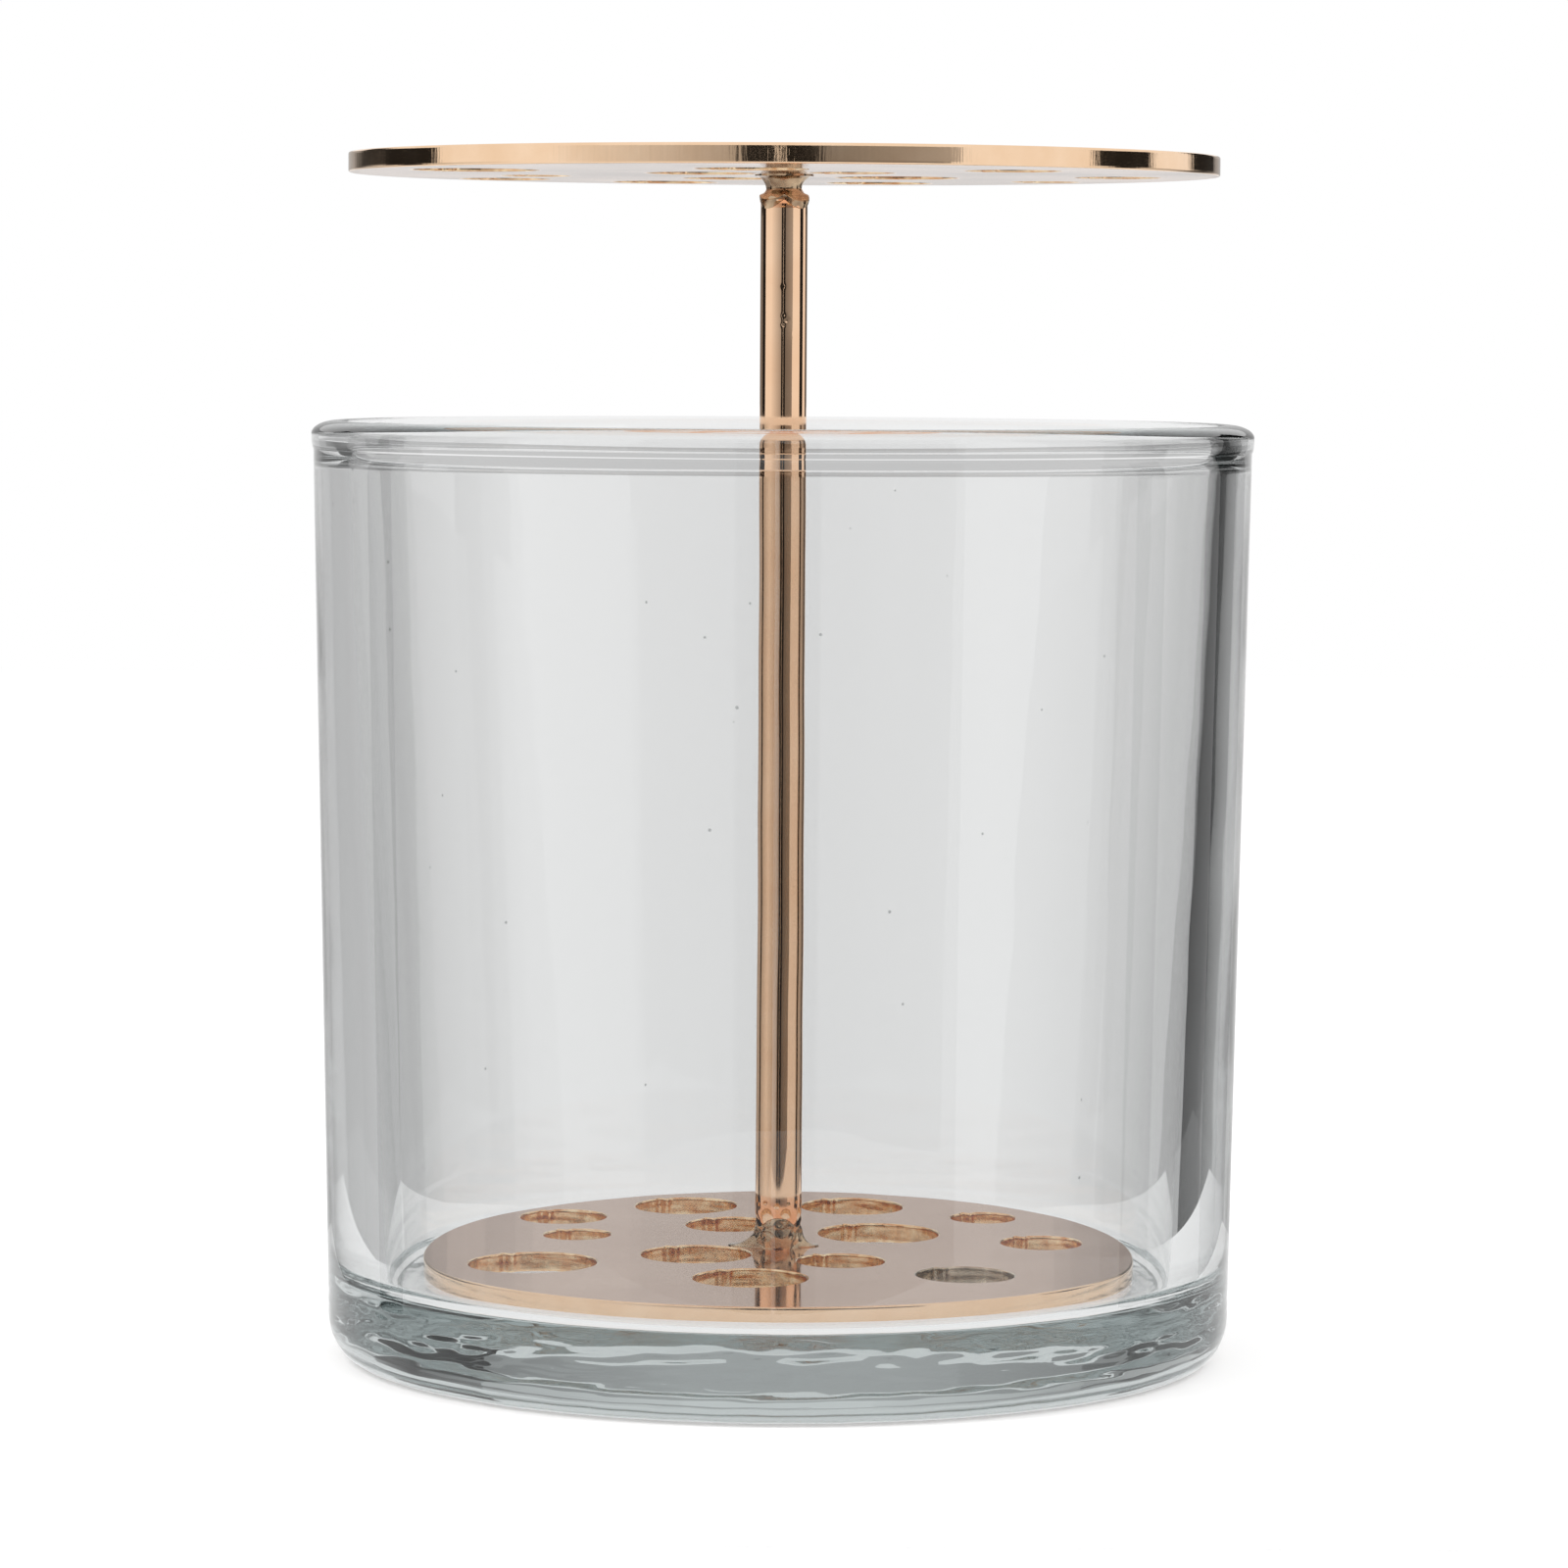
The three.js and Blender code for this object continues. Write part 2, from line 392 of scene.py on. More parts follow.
def arc(
    centre: Point, radius: float, start: float, end: float, steps: int, rise: float | None = None
) -> list[Point]:
    """Points along an arc of a profile.

    Args:
        centre: Radius and height of the arc's centre.
        radius: Radius of the arc.
        start: Angle of the first point, in degrees.
        end: Angle of the last point, in degrees.
        steps: Number of stretches.
        rise: Upright radius, where the arc is oval.

    Returns:
        The points, both ends included.
    """
    across, up = centre
    turns = [math.radians(start + (end - start) * step / steps) for step in range(steps + 1)]
    upright = radius if rise is None else rise
    return [(across + radius * math.cos(turn), up + upright * math.sin(turn)) for turn in turns]


def straight(start: Point, end: Point, steps: int) -> list[Point]:
    """Points along a straight stretch of a profile, without its ends."""
    shares = [step / steps for step in range(1, steps)]
    return [(start[0] + (end[0] - start[0]) * s, start[1] + (end[1] - start[1]) * s) for s in shares]


def ease(share: float) -> float:
    """Smooth step from 0 to 1, held at the ends."""
    held = min(1.0, max(0.0, share))
    return held * held * (3 - 2 * held)


def new_object(
    name: str, verts: Sequence[Sequence[float]], faces: Sequence[Sequence[int]]
) -> bpy.types.Object:
    """Makes a smooth-shaded mesh object in the scene.

    Args:
        name: Name of the object.
        verts: Corners, in metres.
        faces: Corner numbers of each face.

    Returns:
        The object.
    """
    mesh = bpy.data.meshes.new(name)
    mesh.from_pydata([tuple(vert) for vert in verts], [], faces)
    mesh.validate()
    mesh.shade_smooth()
    made = bpy.data.objects.new(name, mesh)
    bpy.context.scene.collection.objects.link(made)
    return made


def revolve(
    name: str, profile: Sequence[Point], segments: int, closed: bool = False, warp: Warp | None = None
) -> bpy.types.Object:
    """Turns a profile about the vertical axis.

    Args:
        name: Name of the object.
        profile: Radius and height of each point, going up the outside.
        segments: Number of facets round the axis.
        closed: Whether the last point joins the first.
        warp: Moves a point of radius and height at an angle to its place on an uneven surface.

    Returns:
        The object.
    """
    verts: list[Sequence[float]] = []
    rings: list[list[int]] = []
    for radius, height in profile:
        count = 1 if radius < ON_AXIS else segments
        rings.append(list(range(len(verts), len(verts) + count)))
        for step in range(count):
            angle = math.tau * step / segments
            r, z = warp(radius, height, angle) if warp and count > 1 else (radius, height)
            verts.append((r * math.cos(angle), r * math.sin(angle), z))
    faces: list[list[int]] = []
    for low, high in zip(rings, rings[1:] + rings[: int(closed)]):
        for step in range(segments):
            after = (step + 1) % segments
            below = [low[step % len(low)], low[after % len(low)]]
            above = [high[after % len(high)], high[step % len(high)]]
            faces.append(list(dict.fromkeys(below + above)))
    return new_object(name, verts, faces)


def settle(piece: bpy.types.Object, body: Body, node: Node) -> bpy.types.Object:
    """Puts a finished piece on its body in place of its solid.

    Args:
        piece: The piece.
        body: Body that it rides on.
        node: Solid that it stands for.

    Returns:
        The piece.
    """
    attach(piece, body.value)
    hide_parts(node.value)
    LOG.info("%s stands for %s: %d faces", piece.name, node.value, len(piece.data.polygons))
    return piece


@dataclass(frozen=True)
class StemHole:
    """One hole for a flower stem, in the plane of its disc."""

    x: float
    y: float
    radius: float


def stem_holes(disc: str) -> list[StemHole]:
    """Reads a disc's stem holes from the openings that the record states.

    Args:
        disc: First word of the openings' names.

    Returns:
        The holes, in the record's order.
    """
    holes = []
    for opening in frame["record"]["physics"]["openings"]:
        if opening["name"].startswith(f"{disc}_stem_hole"):
            low, high = opening["box_m"]
            radius = (high[0] - low[0]) / 2 / STEM_BOX_SHARE
            holes.append(StemHole((low[0] + high[0]) / 2, (low[1] + high[1]) / 2, radius))
    return holes


class Ripple(NamedTuple):
    """One ripple of pressed glass."""

    height: float
    length: float


@dataclass
class GlassTumbler:
    """The pressed-glass tumbler: drafted wall, fire-polished lip, heavy floor and shallow push-up."""

    base_radius: float = 57.8 * MM
    rim_wall: float = 4.2 * MM
    foot_wall: float = 7.2 * MM
    floor: float = 10.5 * MM
    floor_fillet: float = 2.4 * MM
    base_corner: float = 4.0 * MM
    corner_rise: float = 5.6 * MM
    bearing_ring: float = 6.0 * MM
    push_up: float = 0.8 * MM
    lip_outer: float = 3.0 * MM
    lip_drop: float = 3.6 * MM
    lip_belly: float = 1.7 * MM
    lip_bead: float = 0.24 * MM
    lip_undercut: float = 76.0
    inner_ripples: tuple[Ripple, ...] = (Ripple(0.045 * MM, 30.0 * MM), Ripple(0.014 * MM, 10.0 * MM))
    outer_ripples: tuple[Ripple, ...] = (Ripple(0.012 * MM, 34.0 * MM),)
    ring_ripples: tuple[Ripple, ...] = (Ripple(0.07 * MM, 4.2 * MM), Ripple(0.02 * MM, 1.9 * MM))
    dome_ripples: tuple[Ripple, ...] = (Ripple(0.05 * MM, 14.0 * MM),)
    chill_waves: tuple[Ripple, ...] = (Ripple(0.05 * MM, 2.4 * MM), Ripple(0.04 * MM, 0.9 * MM))
    chill_run: float = 5.0
    chill_top: float = 13.0 * MM
    # Depth under the outer wall within which a point ripples with the outside.
    skin: float = 1.4 * MM
    # Width over which the push-up's ripples give way to the bearing ring's.
    ring_blend: float = 1.5 * MM
    segments: int = 320
    dome_steps: int = 48
    ring_steps: int = 14
    corner_steps: int = 28
    chill_steps: int = 32
    wall_steps: int = 40
    under_lip_steps: int = 24
    lip_steps: int = 20
    mouth_steps: int = 12
    inner_wall_steps: int = 42
    fillet_steps: int = 16
    floor_steps: int = 30
    rim_radius: float = field(init=False)
    height: float = field(init=False)
    fillet_height: float = field(init=False)
    flat_radius: float = field(init=False)
    ring_radius: float = field(init=False)

    def __post_init__(self) -> None:
        """Takes the outer sizes from the solid, and the inner ones from the wall."""
        low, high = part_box(Node.GLASS.value)
        self.rim_radius = (high.x - low.x) / 2
        self.height = high.z
        self.fillet_height = self.floor + self.floor_fillet
        self.flat_radius = self.inner(self.fillet_height) - self.floor_fillet
        self.ring_radius = self.outer(self.corner_rise) - self.base_corner - self.bearing_ring

    def outer(self, z: float) -> float:
        """Radius of the drafted outer wall at a height."""
        return self.base_radius + (self.rim_radius - self.base_radius) * z / self.height

    def inner(self, z: float) -> float:
        """Radius at a height of the inner wall, which thickens from the rim down to the floor."""
        rise = (z - self.floor) / (self.height - self.floor)
        return self.outer(z) - self.foot_wall + (self.foot_wall - self.rim_wall) * rise

    def profile(self) -> list[Point]:
        """Half section of the glass.

        Returns:
            Points from the push-up's middle round the lip to the floor's middle.
        """
        draft = math.degrees(math.atan2(self.rim_radius - self.base_radius, self.height))
        inner_draft = math.degrees(math.atan2(self.inner(self.height) - self.inner(0.0), self.height))
        corner = (self.ring_radius + self.bearing_ring, self.corner_rise)
        dome = (self.ring_radius**2 + self.push_up**2) / (2 * self.push_up)
        dome_edge = math.degrees(math.acos(self.ring_radius / dome))
        lip_inner = self.rim_wall - self.lip_outer
        crest = self.rim_radius - self.lip_outer
        belly_height = self.height - self.lip_belly
        belly = self.outer(belly_height) + self.lip_bead
        crease = (self.outer(self.height - self.lip_drop), self.height - self.lip_drop)
        undercut = math.radians(self.lip_undercut)
        bead = (belly - crease[0]) / (1 - math.cos(undercut))
        bead_rise = (belly_height - crease[1]) / math.sin(undercut)
        chilled = (self.outer(self.chill_top), self.chill_top)

        underside = arc((0.0, self.push_up - dome), dome, 90.0, dome_edge, self.dome_steps)
        underside[0] = (0.0, self.push_up)
        foot = arc(corner, self.base_corner, -90.0, -draft, self.corner_steps, rise=self.corner_rise)
        under_lip = arc(
            (belly - bead, belly_height), bead, -self.lip_undercut, 0.0, self.under_lip_steps, rise=bead_rise
        )
        lip = arc((crest, belly_height), belly - crest, 0.0, 90.0, self.lip_steps, rise=self.lip_belly)
        mouth = arc(
            (crest, self.height - lip_inner), lip_inner, 90.0, 180.0 - inner_draft, self.mouth_steps
        )
        fillet = arc(
            (self.flat_radius, self.fillet_height), self.floor_fillet, -inner_draft, -90.0, self.fillet_steps
        )
        return [
            *underside,
            *straight(underside[-1], foot[0], self.ring_steps),
            *foot,
            *straight(foot[-1], chilled, self.chill_steps),
            chilled,
            *straight(chilled, crease, self.wall_steps),
            *under_lip,
            *lip[1:],
            *mouth[1:],
            *straight(mouth[-1], fillet[0], self.inner_wall_steps),
            *fillet,
            *straight(fillet[-1], (0.0, self.floor), self.floor_steps),
            (0.0, self.floor),
        ]

    @staticmethod
    def ripple(place: Vector, ripples: Sequence[Ripple]) -> float:
        """Height over the even surface of the ripples that add up at a place."""
        return sum(ripple.height * noise.noise(place / ripple.length) for ripple in ripples)

    def chill(self, place: Vector) -> float:
        """Height of the long flat waves round the foot, which are full up to half their top."""
        flattened = Vector((place.x / self.chill_run, place.y / self.chill_run, place.z))
        return self.ripple(flattened, self.chill_waves) * ease(2 * (1 - place.z / self.chill_top))

    def rippled(self, radius: float, height: float, angle: float) -> Point:
        """Moves a point by the ripple of pressed glass.

        Args:
            radius: Radius of the even surface.
            height: Height of the even surface.
            angle: Angle about the axis.

        Returns:
            Radius and height on the rippled surface.
        """
        place = Vector((radius * math.cos(angle), radius * math.sin(angle), height))
        if height < self.corner_rise or radius > self.outer(height) - self.skin:
            on_wall = ease(height / self.corner_rise)
            on_ring = ease((radius - self.ring_radius) / self.ring_blend)
            out = ease(height / self.floor) * self.ripple(place, self.outer_ripples) + self.chill(place)
            # The ring is lifted by its ripples' full height, so that none of it passes below the table.
            over_table = sum(ripple.height for ripple in self.ring_ripples)
            lift = on_ring * (self.ripple(place, self.ring_ripples) + over_table)
            lift += (1 - on_ring) * self.ripple(place, self.dome_ripples)
            return radius + out * on_wall, height + lift * (1 - on_wall)
        wave = self.ripple(place, self.inner_ripples) * ease((self.height - height) / self.lip_outer)
        wave += self.chill(place) * ease((radius - self.flat_radius) / self.floor_fillet + 1)
        on_wall = ease((radius - self.flat_radius) / self.floor_fillet)
        return radius + wave * on_wall, height + wave * (1 - on_wall) * ease(radius / self.floor_fillet)

    def build(self) -> bpy.types.Object:
        """Builds and dresses the tumbler.

        Returns:
            The tumbler.
        """
        glass = revolve("glass_tumbler", self.profile(), self.segments, warp=self.rippled)
        self.dress(glass)
        return settle(glass, Body.VASE, Node.GLASS)

    def dress(self, glass: bpy.types.Object) -> None:
        """Gives the glass its finish."""
        glass.data.materials.append(SodaLimeGlass("soda_lime_glass_pressed").material())


class DiscSurface(Enum):
    """The surfaces of a disc, by their place in its list of materials."""

    SHEET = 0
    RIM = 1
    CUT = 2
    BARE = 3


@dataclass
class DrilledDisc:
    """A laser-cut steel disc with stem holes, copper plated after cutting."""

    node: Node
    name: str
    edge_rounding: float = 0.22 * MM
    rounding_steps: int = 3
    wall_steps: int = 9
    rim_segments: int = 288
    hole_segments: int = 176
    notch_depth: float = 0.5 * MM
    notch_width: float = 0.6 * MM
    notch_angle: float = 118.0
    drag_depth: float = 0.04 * MM
    drag_width: float = 0.9 * MM
    drag_stretch: float = 6.0
    burr_depth: float = 0.045 * MM
    burr_height: float = 0.6 * MM
    burr_length: float = 5.0 * MM
    bare_hole: int | None = None
    radius: float = field(init=False)
    bottom: float = field(init=False)
    top: float = field(init=False)
    holes: list[StemHole] = field(init=False)

    def __post_init__(self) -> None:
        """Takes the sizes from the solid and the holes from the record."""
        low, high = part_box(self.node.value)
        self.radius = (high.x - low.x) / 2
        self.bottom = low.z
        self.top = high.z
        self.holes = stem_holes(self.node.value.split("_")[0])

    def levels(self) -> list[Point]:
        """Rings of a rounded edge.

        Returns:
            Inset and height of each ring, from the underside to the top.
        """
        r = self.edge_rounding
        lower = arc((r, self.bottom + r), r, 270.0, 180.0, self.rounding_steps)
        upper = arc((r, self.top - r), r, 180.0, 90.0, self.rounding_steps)
        return [*lower, *straight(lower[-1], upper[0], self.wall_steps), *upper]

    def hole_wobble(self, hole: StemHole, angle: float, height: float) -> float:
        """How far the cut wall of a hole lies outside its true circle.

        Args:
            hole: The hole.
            angle: Angle about the hole's middle.
            height: Height on the wall.

        Returns:
            Distance in metres, with the notch where the cut began, upright drag lines and level burrs.
        """
        away = math.remainder(angle - math.radians(self.notch_angle), math.tau) * hole.radius
        notch = self.notch_depth * away / self.notch_width * math.exp(1 - (away / self.notch_width) ** 2)
        x, y = hole.x + hole.radius * math.cos(angle), hole.y + hole.radius * math.sin(angle)
        along = Vector((x, y, height / self.drag_stretch)) / self.drag_width
        across = Vector((x / self.burr_length, y / self.burr_length, height / self.burr_height))
        return notch + self.drag_depth * noise.noise(along) + self.burr_depth * noise.noise(across)

    def add_edge(
        self, mesh: bmesh.types.BMesh, hole: StemHole | None
    ) -> tuple[list[bmesh.types.BMEdge], list[bmesh.types.BMEdge]]:
        """Adds the rounded edge wall of the rim or of one hole.

        Args:
            mesh: Mesh that takes the wall.
            hole: The hole, or nothing for the rim.

        Returns:
            The edges of the wall's underside and top rings.
        """
        count = self.hole_segments if hole else self.rim_segments
        surface = DiscSurface.CUT if hole else DiscSurface.RIM
        if hole and self.bare_hole is not None and hole is self.holes[self.bare_hole]:
            surface = DiscSurface.BARE
        rings = []
        for inset, height in self.levels():
            ring = []
            for step in range(count):
                angle = math.tau * step / count
                if hole:
                    r = hole.radius + inset + self.hole_wobble(hole, angle, height)
                    place = (hole.x + r * math.cos(angle), hole.y + r * math.sin(angle), height)
                else:
                    r = self.radius - inset
                    place = (r * math.cos(angle), r * math.sin(angle), height)
                ring.append(mesh.verts.new(place))
            rings.append(ring)
        for low, high in zip(rings, rings[1:]):
            for step in range(count):
                after = (step + 1) % count
                corners = [low[step], low[after], high[after], high[step]]
                face = mesh.faces.new(corners[::-1] if hole else corners)
                face.material_index = surface.value
                face.smooth = True
        loops = []
        for ring in (rings[0], rings[-1]):
            loops.append([mesh.edges.get((ring[step - 1], ring[step])) for step in range(count)])
        return loops[0], loops[1]

    def build(self) -> bpy.types.Object:
        """Builds and dresses the disc.

        Returns:
            The disc.
        """
        mesh = bmesh.new()
        outlines = [self.add_edge(mesh, hole) for hole in (None, *self.holes)]
        for side in range(2):
            edges = [edge for outline in outlines for edge in outline[side]]
            facing = (0, 0, 2 * side - 1)
            filled = bmesh.ops.triangle_fill(mesh, edges=edges, use_beauty=True, normal=facing)
            for face in filled["geom"]:
                if isinstance(face, bmesh.types.BMFace):
                    face.material_index = DiscSurface.SHEET.value
                    face.smooth = False
        bmesh.ops.recalc_face_normals(mesh, faces=mesh.faces)
        data = bpy.data.meshes.new(self.name)
        mesh.to_mesh(data)
        mesh.free()
        disc = bpy.data.objects.new(self.name, data)
        bpy.context.scene.collection.objects.link(disc)
        self.dress(disc)
        return settle(disc, Body.FROG, self.node)

    def dress(self, disc: bpy.types.Object) -> None:
        """Gives the faces, the rim and the cut walls their finishes.

        Args:
            disc: The disc's object.
        """
        finishes = {
            # Rolled sheet under the plate: a soft mirror that blurs a little and clouds over.
            DiscSurface.SHEET: CopperPlate(
                "copper_plate_satin_sheet",
                light="fbd4ba",
                dark="f2c8ad",
                blotch_mm=18.0,
                grain_mm=0.35,
                roughness=(0.06, 0.11),
                grain_depth_mm=0.001,
            ),
            # The rim, polished after cutting: bright, with fine upright lines that break up what it mirrors.
            DiscSurface.RIM: CopperPlate(
                "copper_plate_polished_rim",
                light="f6d6b6",
                dark="eecaa6",
                blotch_mm=6.0,
                grain_mm=0.45,
                grain_stretch=(1.0, 1.0, 0.06),
                roughness=(0.05, 0.12),
                grain_depth_mm=0.026,
            ),
            # Walls of the laser-cut holes: warm gold, rough in upright lines, brown where the cut was hot.
            DiscSurface.CUT: CopperPlate(
                "copper_plate_laser_cut",
                light="fbe3bd",
                dark="d29e6e",
                blotch_mm=1.4,
                grain_mm=0.5,
                grain_stretch=(1.0, 1.0, 0.35),
                roughness=(0.06, 0.2),
                grain_depth_mm=0.05,
            ),
            DiscSurface.BARE: BareSteel("steel_bare_laser_cut"),
        }
        for surface in DiscSurface:
            disc.data.materials.append(finishes[surface].material())


@dataclass(frozen=True)
class Nick:
    """A small dent from handling, on the side of the stem."""

    height: float
    turn: float
    width: float
    depth: float


class Taper(NamedTuple):
    """A ground taper at an end of the stem: its length, and what it takes off the radius."""

    length: float
    depth: float


@dataclass
class StemBar:
    """The drawn steel bar between the discs, ground to a taper at both ends and plated bright."""

    lower_taper: Taper = Taper(4.4 * MM, 1.5 * MM)
    upper_taper: Taper = Taper(3.2 * MM, 1.9 * MM)
    nicked_band: Span = (130.0 * MM, 139.0 * MM)
    drawing_wave: float = 0.004 * MM
    drawing_length: float = 14.0 * MM
    drawing_turns: float = 2.0
    segments: int = 128
    taper_steps: int = 6
    body_steps: int = 60
    nicked_steps: int = 72
    shoulder_steps: int = 8
    crisp_angle: float = 50.0
    radius: float = field(init=False)
    bottom: float = field(init=False)
    top: float = field(init=False)

    NICKS: ClassVar[tuple[Nick, ...]] = (
        Nick(137.3 * MM, 268.0, 0.30 * MM, 0.030 * MM),
        Nick(133.6 * MM, 270.0, 0.26 * MM, 0.035 * MM),
        Nick(133.0 * MM, 276.0, 0.28 * MM, 0.045 * MM),
        Nick(132.4 * MM, 269.0, 0.24 * MM, 0.035 * MM),
        Nick(131.2 * MM, 300.0, 0.22 * MM, 0.020 * MM),
    )

    def __post_init__(self) -> None:
        """Takes the sizes from the solid."""
        low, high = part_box(Node.STEM.value)
        self.radius = (high.x - low.x) / 2
        self.bottom = low.z
        self.top = high.z

    def surface(self, from_end: float, taper: Taper) -> float:
        """Radius of the bar at a distance from an end with this taper."""
        return self.radius - taper.depth * max(0.0, 1 - from_end / taper.length)

    def worn(self, radius: float, height: float, angle: float) -> Point:
        """Moves a point of the true bar to the drawn and nicked one.

        Args:
            radius: Radius of the true bar.
            height: Height on the bar.
            angle: Angle about the axis.

        Returns:
            Radius and height of the moved point.
        """
        turns = self.drawing_turns
        place = Vector((turns * math.cos(angle), turns * math.sin(angle), height / self.drawing_length))
        moved = radius + self.drawing_wave * noise.noise(place)
        for nick in self.NICKS:
            across = math.remainder(angle - math.radians(nick.turn), math.tau) * radius
            away = math.hypot(across, height - nick.height) / nick.width
            moved -= nick.depth * math.exp(-(away**2))
        return moved, height

    def build(self) -> bpy.types.Object:
        """Builds and dresses the bar.

        Returns:
            The bar.
        """
        lower_tip = self.surface(0.0, self.lower_taper)
        upper_tip = self.surface(0.0, self.upper_taper)
        lower = (self.radius, self.bottom + self.lower_taper.length)
        upper = (self.radius, self.top - self.upper_taper.length)
        band_start, band_end = ((self.radius, height) for height in self.nicked_band)
        profile = [
            (0.0, self.bottom),
            (lower_tip, self.bottom),
            *straight((lower_tip, self.bottom), lower, self.taper_steps),
            lower,
            *straight(lower, band_start, self.body_steps),
            band_start,
            *straight(band_start, band_end, self.nicked_steps),
            band_end,
            *straight(band_end, upper, self.shoulder_steps),
            upper,
            *straight(upper, (upper_tip, self.top), self.taper_steps),
            (upper_tip, self.top),
            (0.0, self.top),
        ]
        bar = revolve("stem_bar", profile, self.segments, warp=self.worn)
        bar.data.set_sharp_from_angle(angle=math.radians(self.crisp_angle))
        self.dress(bar)
        return settle(bar, Body.FROG, Node.STEM)

    def dress(self, bar: bpy.types.Object) -> None:
        """Gives the bar its finish.

        Args:
            bar: The bar's object.
        """
        # Bright drawn bar under the plate: a clear mirror in upright stripes, with faint lines along it.
        finish = CopperPlate(
            "copper_plate_bright_drawn_bar",
            light="f4cfae",
            dark="ecc29e",
            blotch_mm=9.0,
            grain_mm=0.6,
            grain_stretch=(1.0, 1.0, 0.15),
            roughness=(0.02, 0.06),
            grain_depth_mm=0.002,
        )
        bar.data.materials.append(finish.material())


@dataclass(frozen=True)
class WeldFin:
    """A thin run of weld metal that spreads over the disc to one side."""

    turn: float
    reach: float
    spread: float


@dataclass
class WeldBead:
    """A weld between the stem and a disc: thin foot, hollow neck, lobed toe, and a lumpy skin."""

    node: Node
    name: str
    stem: StemBar
    taper: Taper
    foot_radius: float
    neck_height: float
    toe_height: float
    lobes: int
    first_cusp: float
    cusp_depth: float
    lobe_swell: float
    fins: tuple[WeldFin, ...] = ()
    points_down: bool = False
    clearance: float = 0.05 * MM
    foot_thickness: float = 0.15 * MM
    neck_cover: float = 0.1 * MM
    toe_cover: float = 0.05 * MM
    lump: float = 0.22 * MM
    lump_sink: float = 0.2
    lump_size_mm: float = 1.5
    segments: int = 128
    curve_steps: int = 14
    crisp_angle: float = 60.0

    def seat(self, height: float) -> float:
        """Radius at which the bead meets the stem at a height over the disc."""
        return self.stem.surface(height, self.taper) + self.clearance

    def profile(self) -> list[Point]:
        """Section of the bead over its disc.

        Returns:
            Points from the seat round the outside to the toe.
        """
        neck = self.seat(self.neck_height) + self.neck_cover
        inward = neck - self.foot_radius
        upward = self.neck_height - self.foot_thickness
        shares = [step / self.curve_steps for step in range(self.curve_steps + 1)]
        turns = [share * math.pi / 2 for share in shares]
        foot = [
            (
                self.foot_radius + inward * math.sin(turn),
                self.foot_thickness + upward * (1 - math.cos(turn)),
            )
            for turn in turns
        ]
        climb = [self.neck_height + (self.toe_height - self.neck_height) * share for share in shares[1:]]
        return [
            (self.seat(0.0), 0.0),
            (self.foot_radius, 0.0),
            *foot,
            *((self.seat(height) + self.toe_cover, height) for height in climb),
            (self.seat(self.toe_height), self.toe_height),
        ]

    def spread(self, angle: float) -> float:
        """How far the fins carry the foot out.

        Args:
            angle: Angle about the stem.

        Returns:
            Distance in metres.
        """
        out = 0.0
        for fin in self.fins:
            turn = math.remainder(angle - math.radians(fin.turn), math.tau)
            out += fin.reach * math.exp(-((turn / math.radians(fin.spread)) ** 2))
        return out

    def lumpy(self, radius: float, height: float, angle: float) -> Point:
        """Moves a point of the even bead to the lobed and lumpy one.

        Args:
            radius: Radius of the even bead.
            height: Height over the disc.
            angle: Angle about the stem.

        Returns:
            Radius and height of the moved point.
        """
        climb = (height - self.neck_height) / (self.toe_height - self.neck_height)
        lobe = abs(math.sin(self.lobes / 2 * (angle - math.radians(self.first_cusp))))
        drop = 1 - (height - self.foot_thickness) / (self.neck_height - self.foot_thickness)
        outward = 1 - math.sqrt(1 - min(1.0, max(0.0, drop)) ** 2)
        place = Vector((radius * math.cos(angle), radius * math.sin(angle), height))
        lumps = noise.noise(place * per_mm(self.lump_size_mm)) - self.lump_sink
        swollen = lobe * math.sin(math.pi * min(1.0, height / self.toe_height))
        wave = (self.lump * lumps + self.lobe_swell * swollen) * ease(height / self.foot_thickness)
        covered = ease((radius - self.seat(height)) / self.toe_cover)
        moved = radius + (wave + self.spread(angle) * outward) * covered
        return moved, height - self.cusp_depth * ease(climb) * (1 - lobe)

    def build(self) -> bpy.types.Object:
        """Builds and dresses the bead.

        Returns:
            The bead.
        """
        bead = revolve(self.name, self.profile(), self.segments, closed=True, warp=self.lumpy)
        low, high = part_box(self.node.value)
        place = Matrix.Translation((0.0, 0.0, low.z))
        if self.points_down:
            place = Matrix.Translation((0.0, 0.0, high.z)) @ Matrix.Rotation(math.pi, 4, "X")
        bead.data.transform(place)
        bead.data.set_sharp_from_angle(angle=math.radians(self.crisp_angle))
        self.dress(bead)
        return settle(bead, Body.FROG, self.node)

    def dress(self, bead: bpy.types.Object) -> None:
        """Gives the bead its finish.

        Args:
            bead: The bead's object.
        """
        # Plate over rough weld metal: brown and gold in patches, with small bright lumps.
        finish = CopperPlate(
            "copper_plate_over_weld",
            light="d8bd9c",
            dark="7c634f",
            blotch_mm=2.6,
            grain_mm=0.5,
            roughness=(0.06, 0.18),
            grain_depth_mm=0.03,
        )
        bead.data.materials.append(finish.material())


@dataclass(frozen=True)
class Panel:
    """One upright panel of the studio, from one bearing to another, in degrees right of the camera.

    Its brightness runs from the start level to the end level. A panel with a fade goes on below its bottom
    and turns white over that height, so that views from other sides show no hard edge. A panel that is
    mirrored only is white where it is seen straight through the glass, which keeps views from behind clean.
    """

    name: str
    start: float
    end: float
    start_level: float
    end_level: float
    bottom: float = -0.21
    top: float = 0.28
    nearer: float = 0.0
    fade: float = 0.0
    mirrored_only: bool = False


@dataclass(frozen=True)
class SoftBox:
    """One soft box, at a bearing in degrees right of the camera, with its power in watts."""

    name: str
    bearing: float
    power: float


